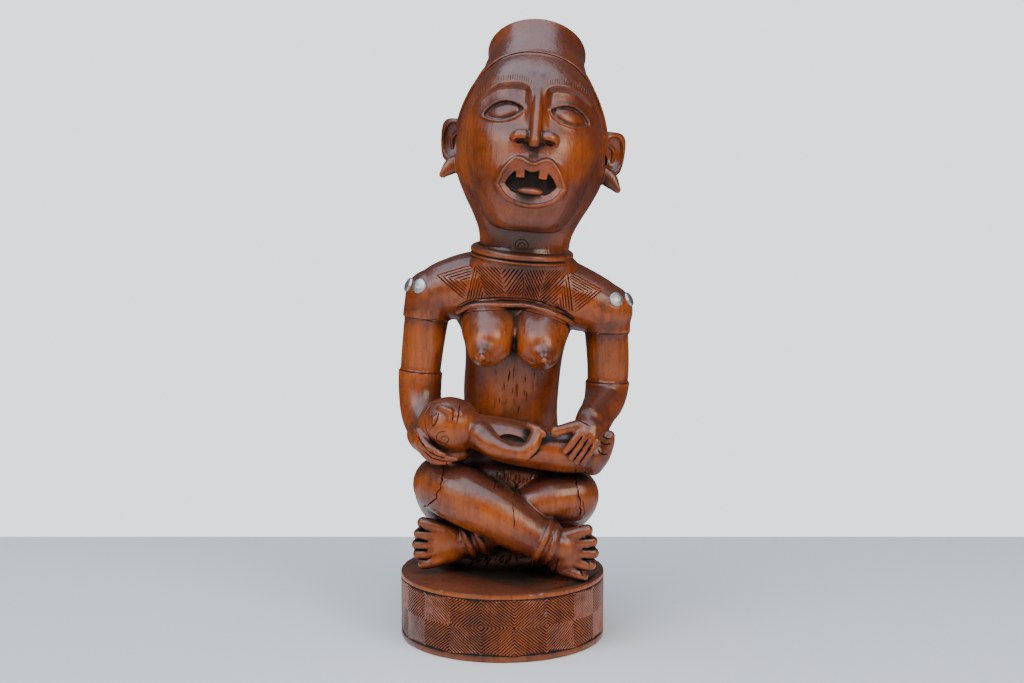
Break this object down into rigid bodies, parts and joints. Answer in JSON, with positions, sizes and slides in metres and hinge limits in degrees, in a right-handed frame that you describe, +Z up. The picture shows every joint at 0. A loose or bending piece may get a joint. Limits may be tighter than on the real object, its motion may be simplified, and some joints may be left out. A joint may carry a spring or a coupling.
{
  "type": "carved maternity figure",
  "caption": "Wooden table figure: a mother seated cross-legged on a round patterned drum, a child across her lap, domed tacks in her shoulders.",
  "frame": {"origin": "centre of the drum's flat underside", "axes": "+Z up along the figure's height; the figure faces -Y; +X is the figure's own left"},
  "size_m": [0.1452, 0.127, 0.3807],
  "materials": {
    "wood": "waxed and polished, dark in the recesses",
    "tack": "worn, slightly tarnished"
  },
  "bodies": {
    "root": {"mother_and_child": "wood", "shoulder_tack_right_front": "tack", "shoulder_tack_right_outer": "tack", "shoulder_tack_left_front": "tack", "shoulder_tack_left_outer": "tack"}
  },
  "joints": []
}
